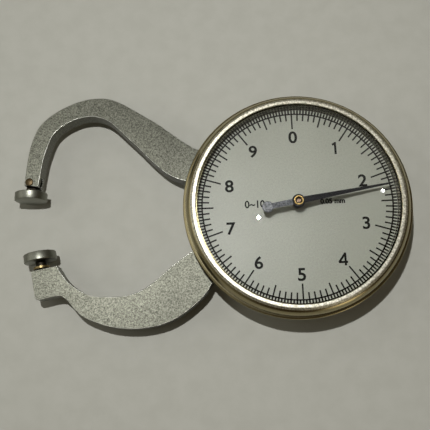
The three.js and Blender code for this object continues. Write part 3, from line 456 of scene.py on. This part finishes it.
bm = bmesh.new()
ink_marks(bm, 200, 1, 1.045, 0.36)
ink_marks(bm, 100, 0.925, 1, 0.33)
ink_marks(bm, 20, 0.88, 0.925, 0.33)
ink_marks(bm, 10, 0.833, 0.88, 0.33)
line = [
    bm.verts.new((radius * MM, 0, INK_TOP * MM))
    for radius in (FACE_R - CIRCLE_HALF, FACE_R + CIRCLE_HALF)
]
bmesh.ops.spin(
    bm, geom=line + [bm.edges.new(line)], cent=(0, 0, 0), axis=(0, 0, 1), angle=ROUND, steps=240,
    use_merge=True)
bmesh.ops.recalc_face_normals(bm, faces=bm.faces)
for face in bm.faces:
    if face.normal.z < 0:
        face.normal_flip()
mesh = bpy.data.meshes.new("graduations")
bm.to_mesh(mesh)
bm.free()
printed("graduations", mesh)


# Numerals: plain upright figures from 0 to 9 clockwise, with the range and the
# value of one division either side of the pointer, in the same ink. The 1 and
# the 4 are drawn from straight bars.
CAPITALS = 0.74  # the height of a figure in a typeface of size 1


def lettering(name, text, x, y, height, squeeze=1.06, bold=0.03):
    """Printed text centred on a place in mm, its figures as high as given."""
    curve = bpy.data.curves.new(name, "FONT")
    curve.body = text
    curve.align_x = "CENTER"
    curve.align_y = "CENTER"
    curve.size = height * MM / CAPITALS
    curve.offset = bold * height * MM
    holder = placed(name, curve)
    bpy.context.view_layer.update()
    mesh = bpy.data.meshes.new_from_object(holder)
    bpy.data.objects.remove(holder)
    low = [min(v.co[i] for v in mesh.vertices) for i in (0, 1)]
    high = [max(v.co[i] for v in mesh.vertices) for i in (0, 1)]
    middle = Matrix.Translation((-(low[0] + high[0]) / 2, -(low[1] + high[1]) / 2, 0))
    fit = height * MM / (high[1] - low[1])
    size = Matrix.Diagonal((fit * squeeze, fit, 1, 1))
    place = Matrix.Translation((x * MM, y * MM, INK_TOP * MM))
    mesh.transform(place @ size @ middle)
    printed(name, mesh)


def strokes(name, lines, x, y, thick):
    """A figure of straight bars between places about its middle, all in mm."""
    bm = bmesh.new()
    for (x0, y0), (x1, y1) in lines:
        along = Vector((x1 - x0, y1 - y0, 0))
        turn = Matrix.Rotation(math.atan2(along.y, along.x), 4, "Z")
        middle = Vector((x + (x0 + x1) / 2, y + (y0 + y1) / 2, INK_TOP)) * MM
        size = Matrix.Diagonal((along.length * MM, thick * MM, 1, 1))
        bmesh.ops.create_grid(
            bm, x_segments=1, y_segments=1, size=0.5,
            matrix=Matrix.Translation(middle) @ turn @ size)
    mesh = bpy.data.meshes.new(name)
    bm.to_mesh(mesh)
    bm.free()
    printed(name, mesh)


STROKE = 0.46
FIGURE_HEIGHT = 2.75
FIGURE_R = 0.74 * FACE_R
SIDE_PRINT_Y = 0.022 * FACE_R
bars = {
    1: [((0.2, -1.37), (0.2, 1.37)), ((-0.46, 0.76), (0.3, 1.16))],
    4: [
        ((0.48, -1.37), (0.48, 1.37)), ((-0.96, -0.62), (0.98, -0.62)),
        ((-0.88, -0.62), (0.54, 1.3)),
    ],
}
for figure in range(10):
    angle = math.pi / 2 - figure * ROUND / 10
    x, y = FIGURE_R * math.cos(angle), FIGURE_R * math.sin(angle)
    if figure in bars:
        strokes(f"figure_{figure}", bars[figure], x, y, STROKE)
    else:
        lettering(f"figure_{figure}", str(figure), x, y, FIGURE_HEIGHT)
lettering("range_mark", "0~10", -0.444 * FACE_R, SIDE_PRINT_Y, 1.68, squeeze=0.93)
lettering("division_mark", "0.05 mm", 0.373 * FACE_R, SIDE_PRINT_Y, 1.2, squeeze=1.0, bold=0.07)

# Reflector ring: a drawn ring, smooth and dark brown inside, between the dial
# and the crystal, which keeps the dial down.
SEAT = 12.25
reflector = lathe(
    "reflector", [(21.45, DIAL_TOP), (22.1, DIAL_TOP), (22.1, SEAT), (21.45, SEAT)], 192)
reflector.data.materials.append(turned(
    "dark brown nickel", (0.055, 0.048, 0.024), (0.10, 0.088, 0.048), 0.2, 0.16, relief=0.03))
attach(reflector, "bezel_group")
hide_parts("reflector_ring")

# Pointer: a blade of thin sheet steel, black lacquered from the hub to the
# tip and grey on its tail, bent down to the dial at the tip. The tail ends in
# a balance disc, whose top is painted lighter than its sides: painted light.
READING = 12.24
POINTING = math.pi / 2 - ROUND * READING / 10
ROOT_Z = 13.5
TIP_R = 20.5
TIP_DROP = 1.4
BALANCE_R = 6.65
FLAT_TOP = 0.95  # how far up a face has to look to get the painted light


def blade(bm, outline, z0, z1):
    """A flat plate from an outline in mm, between two heights."""
    face = bm.faces.new([bm.verts.new((x * MM, y * MM, z0 * MM)) for x, y in outline])
    side = bmesh.ops.extrude_face_region(bm, geom=[face])
    top = [v for v in side["geom"] if isinstance(v, bmesh.types.BMVert)]
    bmesh.ops.translate(bm, verts=top, vec=(0, 0, (z1 - z0) * MM))


def sheet_piece(name, bm, width, metal):
    """A plate turned to where the pointer shows, with its edges softened by a width in mm."""
    bmesh.ops.recalc_face_normals(bm, faces=bm.faces)
    bmesh.ops.rotate(
        bm, cent=(0, 0, 0), matrix=Matrix.Rotation(POINTING, 3, "Z"), verts=bm.verts)
    mesh = bpy.data.meshes.new(name)
    bm.to_mesh(mesh)
    bm.free()
    shade(mesh)
    piece = placed(name, mesh)
    piece.data.materials.append(metal)
    soften(piece, width, 50)
    return piece


black = grained(
    "black lacquer", (0.008, 0.008, 0.009), (0.014, 0.014, 0.015), 0.4, 0.6, metallic=0.0,
    shine=0.04)
grey = grained(
    "grey lacquer", (0.042, 0.045, 0.049), (0.135, 0.141, 0.152), 0.4, 0.66, metallic=0.0,
    relief=0.2, shine=0.2)
grey_with_painted_light = grained(
    "grey lacquer with painted light on top", (0.08, 0.084, 0.088), (0.24, 0.25, 0.265), 0.4, 0.6, metallic=0.0,
    relief=0.2, shine=0.3)
bm = bmesh.new()
blade(bm, [(0.9, -0.68), (TIP_R, -0.15), (TIP_R, 0.15), (0.9, 0.68)], ROOT_Z - 0.24, ROOT_Z - 0.01)
for vert in bm.verts:
    vert.co.z -= TIP_DROP * vert.co.x / TIP_R
needle = sheet_piece("needle", bm, 0.03, black)
hub_profile = [
    (1.05, 12.6), (1.34, 12.6), (1.4, 12.66), (1.4, 13.42), (1.32, ROOT_Z), (1.05, ROOT_Z),
]
hub = lathe("pointer_hub", hub_profile, 64)
hub.data.materials.append(black)
bm = bmesh.new()
blade(bm, [(-6.0, -0.6), (-1.2, -0.6), (-1.2, 0.6), (-6.0, 0.6)], ROOT_Z - 0.25, ROOT_Z - 0.02)
tail = sheet_piece("tail", bm, 0.04, grey)
balance_profile = [
    (0, 13.25), (1.14, 13.25), (1.2, 13.3), (1.2, 13.42), (1.04, ROOT_Z), (0, ROOT_Z),
]
balance = lathe(
    "balance_disc", balance_profile, 48,
    centre=(-BALANCE_R * math.cos(POINTING), -BALANCE_R * math.sin(POINTING), 0))
balance.data.materials.append(grey_with_painted_light)
balance.data.materials.append(grey)
# Faces that look up get the lighter grey: painted light on the disc's top, painted shade on its
# sides.
for face in balance.data.polygons:
    if face.normal.z < FLAT_TOP:
        face.material_index = 1
for piece in (needle, hub, tail, balance):
    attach(piece, "centre")
    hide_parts("pointer")

# Pointer bush: turned brass with a countersunk bore, pressed on the arbor's
# thin end, which shows in the middle.
BORE_R, BORE_Z = 0.79, 13.4
bush = lathe("bush", [
    (0.45, 12.6), (0.95, 12.6), (1.0, 12.65), (1.0, 13.86), (0.94, 13.95), (0.82, 13.95),
    (0.78, 13.9), (0.72, 13.72), (0.6, 13.6), (0.45, 13.5),
], 64)
bush.data.materials.append(
    turned("turned brass", (0.42, 0.29, 0.10), (0.62, 0.44, 0.17), 0.1, 0.26, relief=0.08))
# The countersunk bore gets a dark brass: painted shade in the recess.
bush.data.materials.append(
    turned("turned brass with painted shade in the bore", (0.025, 0.016, 0.007), (0.06, 0.04, 0.018), 0.1, 0.45, relief=0.08))
for face in bush.data.polygons:
    if face.center.z > BORE_Z * MM and math.hypot(face.center.x, face.center.y) < BORE_R * MM:
        face.material_index = 1
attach(bush, "centre")
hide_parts("pointer_bush")

# Bezel: turned brass, nickel plated and brushed satin. A blasted lip holds the
# crystal, painted lighter than the flank as a painted highlight; the flank falls
# to a fluted grip band, and grooves inside take the snap rings.
SHOULDER = ((24.009, 11.305), (23.8, 12.785), (22.68, 13.27))  # a curve's ends and middle handle
FLUTES = 240
FLUTE_DEPTH = 0.11
GRIP_R, GRIP_TOP = 24.3, 10.2
LIP_R, LIP_Z = 22.85, 13.2
grip = [
    (22.2, 7.5), (24.07, 7.5), (24.36, 7.6), (24.5, 7.93), (24.5, 10.15), (24.5, 10.23),
    (24.62, 10.27), (24.66, 10.40), (24.62, 10.56), (24.48, 10.70), (24.2, 10.80),
    (23.86, 10.84), (23.84, 10.98), (24.01, 11.12),
]
shoulder = []
for step in range(9):
    t = step / 8
    pull = ((1 - t) ** 2, 2 * t * (1 - t), t ** 2)
    shoulder.append(tuple(sum(p * end[i] for p, end in zip(pull, SHOULDER)) for i in (0, 1)))
lip_and_grooves = [
    (22.63, 13.35), (22.54, 13.41), (22.42, 13.43), (21.9, 13.43), (21.82, 13.38),
    (21.78, 13.28), (21.78, 13.0), (22.2, 13.0), (22.2, 9.25), (22.6, 9.25), (22.6, 8.8),
    (22.2, 8.8), (22.2, 8.2), (22.6, 8.2), (22.6, 7.75), (22.2, 7.75),
]
ring = lathe("bezel_ring", grip + shoulder + lip_and_grooves, 2 * FLUTES)
for vert in ring.data.vertices:
    reach = math.hypot(vert.co.x, vert.co.y)
    station = round(math.atan2(vert.co.y, vert.co.x) / ROUND * 2 * FLUTES)
    if station % 2 and reach > GRIP_R * MM and vert.co.z < GRIP_TOP * MM:
        vert.co.x *= 1 - FLUTE_DEPTH * MM / reach
        vert.co.y *= 1 - FLUTE_DEPTH * MM / reach
satin_nickel = turned(
    "satin nickel", (0.26, 0.22, 0.115), (0.42, 0.37, 0.225), 0.1, 0.26, relief=0.22)
# The lip is blasted, and its lighter tone is partly a painted highlight.
blasted_lip_and_highlight = grained(
    "blasted nickel lip with painted highlight", (0.30, 0.285, 0.22), (0.76, 0.73, 0.61), 0.36, 0.46, relief=0.4)
blasted_lip_and_highlight.node_tree.nodes["Noise Texture"].inputs["Detail"].default_value = 6
ring.data.materials.append(satin_nickel)
ring.data.materials.append(blasted_lip_and_highlight)
for face in ring.data.polygons:
    if face.center.z > LIP_Z * MM and math.hypot(face.center.x, face.center.y) < LIP_R * MM:
        face.material_index = 1
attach(ring, "bezel_group")
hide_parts("bezel")

# Crystal: a clear acrylic dome with a flat rim, moulded and snapped under the
# lip. It is a little tinted in places, and lets the lamps' light through.
RISE = 2.4
FOOT = 0.04  # the last step of a face before its rim
UNDER_LIP = 13.0


def dome_side(rim, height):
    """One face of the dome from its middle to its rim, with a crisp foot."""
    sphere = (rim ** 2 + RISE ** 2) / (2 * RISE)
    radii = [rim * step / 16 for step in range(16)] + [rim - FOOT, rim]
    return [(r, height + math.sqrt(sphere ** 2 - r ** 2) - (sphere - RISE)) for r in radii]


inside, outside = dome_side(21.35, SEAT), dome_side(21.5, UNDER_LIP)
flat_rim = [(21.4, SEAT), (22.1, SEAT), (22.1, 12.95), (21.56, UNDER_LIP)]
dome = lathe("clear_dome", inside + flat_rim + outside[::-1], 128)
clear = bpy.data.materials.new("clear acrylic")
clear.use_nodes = True
nodes, links = clear.node_tree.nodes, clear.node_tree.links
shader = nodes["Principled BSDF"]
shader.inputs["Transmission Weight"].default_value = 1.0
shader.inputs["IOR"].default_value = 1.49
shader.inputs["Roughness"].default_value = 0.0
place = nodes.new("ShaderNodeTexCoord")
patches = nodes.new("ShaderNodeTexNoise")
patches.inputs["Scale"].default_value = 90
patches.inputs["Detail"].default_value = 4
tint = nodes.new("ShaderNodeMapRange")
for name, value in (("From Min", 0.35), ("From Max", 0.75), ("To Min", 1.0), ("To Max", 0.97)):
    tint.inputs[name].default_value = value
links.new(place.outputs["Object"], patches.inputs["Vector"])
links.new(patches.outputs["Fac"], tint.inputs["Value"])
links.new(tint.outputs["Result"], shader.inputs["Base Color"])
light_path = nodes.new("ShaderNodeLightPath")
passing = nodes.new("ShaderNodeMath")
passing.operation = "MAXIMUM"
open_way = nodes.new("ShaderNodeBsdfTransparent")
both_ways = nodes.new("ShaderNodeMixShader")
links.new(light_path.outputs["Is Shadow Ray"], passing.inputs[0])
links.new(light_path.outputs["Is Diffuse Ray"], passing.inputs[1])
links.new(passing.outputs["Value"], both_ways.inputs["Fac"])
links.new(shader.outputs["BSDF"], both_ways.inputs[1])
links.new(open_way.outputs["BSDF"], both_ways.inputs[2])
links.new(both_ways.outputs["Shader"], nodes["Material Output"].inputs["Surface"])
dome.data.materials.append(clear)
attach(dome, "bezel_group")
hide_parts("crystal")

# Table: a plain pale board under the gauge, which isn't part of it. It is
# painted, with a faint unevenness.
bm = bmesh.new()
bmesh.ops.create_grid(bm, x_segments=1, y_segments=1, size=1.5)
mesh = bpy.data.meshes.new("table")
bm.to_mesh(mesh)
bm.free()
table = placed("table", mesh)
table.data.materials.append(
    grained("table", (0.375, 0.373, 0.33), (0.395, 0.393, 0.35), 4, 0.85, metallic=0.0, shine=0.2))

# Studio light: a small lamp above and to the left for the shadows, two wide
# panels for the flanks and a weak lamp far away, in a dim surround that is
# darker and warmer towards the front right.
surround = bpy.data.worlds.new("surround")
surround.use_nodes = True
nodes, links = surround.node_tree.nodes, surround.node_tree.links
sight = nodes.new("ShaderNodeTexCoord")
height = nodes.new("ShaderNodeSeparateXYZ")
walls = nodes.new("ShaderNodeValToRGB")
side = nodes.new("ShaderNodeValToRGB")
for ramp, tones in (
    (walls, ((0.3, (0.14, 0.125, 0.085)), (0.68, (0.26, 0.25, 0.205)))),
    (side, ((0.0, (1, 1, 1)), (0.42, (0.25, 0.18, 0.085)))),
):
    for stop, (position, tone) in zip(ramp.color_ramp.elements, tones):
        stop.position = position
        stop.color = (*tone, 1)
walls.color_ramp.elements.new(0.95).color = (0.10, 0.10, 0.092, 1)
far_side = nodes.new("ShaderNodeVectorMath")
far_side.operation = "DOT_PRODUCT"
far_side.inputs[1].default_value = (0.7, -0.7, 0)
room = nodes.new("ShaderNodeMix")
room.data_type = "RGBA"
room.blend_type = "MULTIPLY"
room.inputs["Factor"].default_value = 1
links.new(sight.outputs["Generated"], height.inputs["Vector"])
links.new(height.outputs["Z"], walls.inputs["Fac"])
links.new(sight.outputs["Generated"], far_side.inputs[0])
links.new(far_side.outputs["Value"], side.inputs["Fac"])
links.new(walls.outputs["Color"], room.inputs[COLOUR_A])
links.new(side.outputs["Color"], room.inputs[COLOUR_B])
links.new(room.outputs[COLOUR_OUT], nodes["Background"].inputs["Color"])
bpy.context.scene.world = surround
for name, place, size, power, tint in (
    ("key lamp", (-0.041, 0.030, 0.26), 0.0055, 0.55, (1.0, 1.0, 1.0)),
    ("side panel", (-0.72, 0.12, 0.46), 0.8, 1.3, (1.0, 1.0, 0.95)),
    ("front panel", (0.40, -0.66, 0.15), 0.3, 0.4, (1.0, 0.88, 0.66)),
    ("far lamp", (0.508, 0.231, 0.72), 0.02, 0.1, (1.0, 1.0, 1.0)),
):
    lamp = bpy.data.lights.new(name, "AREA")
    lamp.color = tint
    lamp.shape = "DISK"
    lamp.size = size
    lamp.energy = power
    holder = placed(name, lamp)
    holder.location = place
    holder.rotation_euler = (-Vector(place)).to_track_quat("-Z", "Y").to_euler()

# Camera: close above the gauge, a little below and left of the dial's axis. Its
# place and its three directions were worked out from the circles of the dial.
RIGHT = Vector((0.99886484, -0.03878225, -0.02765795))
UP = Vector((0.04383109, 0.97565594, 0.21488212))
BACK = Vector((0.01865103, -0.21585047, 0.97624828))
EYE = (-0.015105, -0.032889, 0.151794)
view = bpy.data.cameras.new("camera")
view.lens = 56.338
view.clip_start = 0.01
camera = placed("camera", view)
turn = Matrix((RIGHT, UP, BACK)).transposed().to_4x4()
camera.matrix_world = Matrix.Translation(EYE) @ turn
bpy.context.scene.camera = camera
bpy.context.scene.view_settings.view_transform = "Standard"
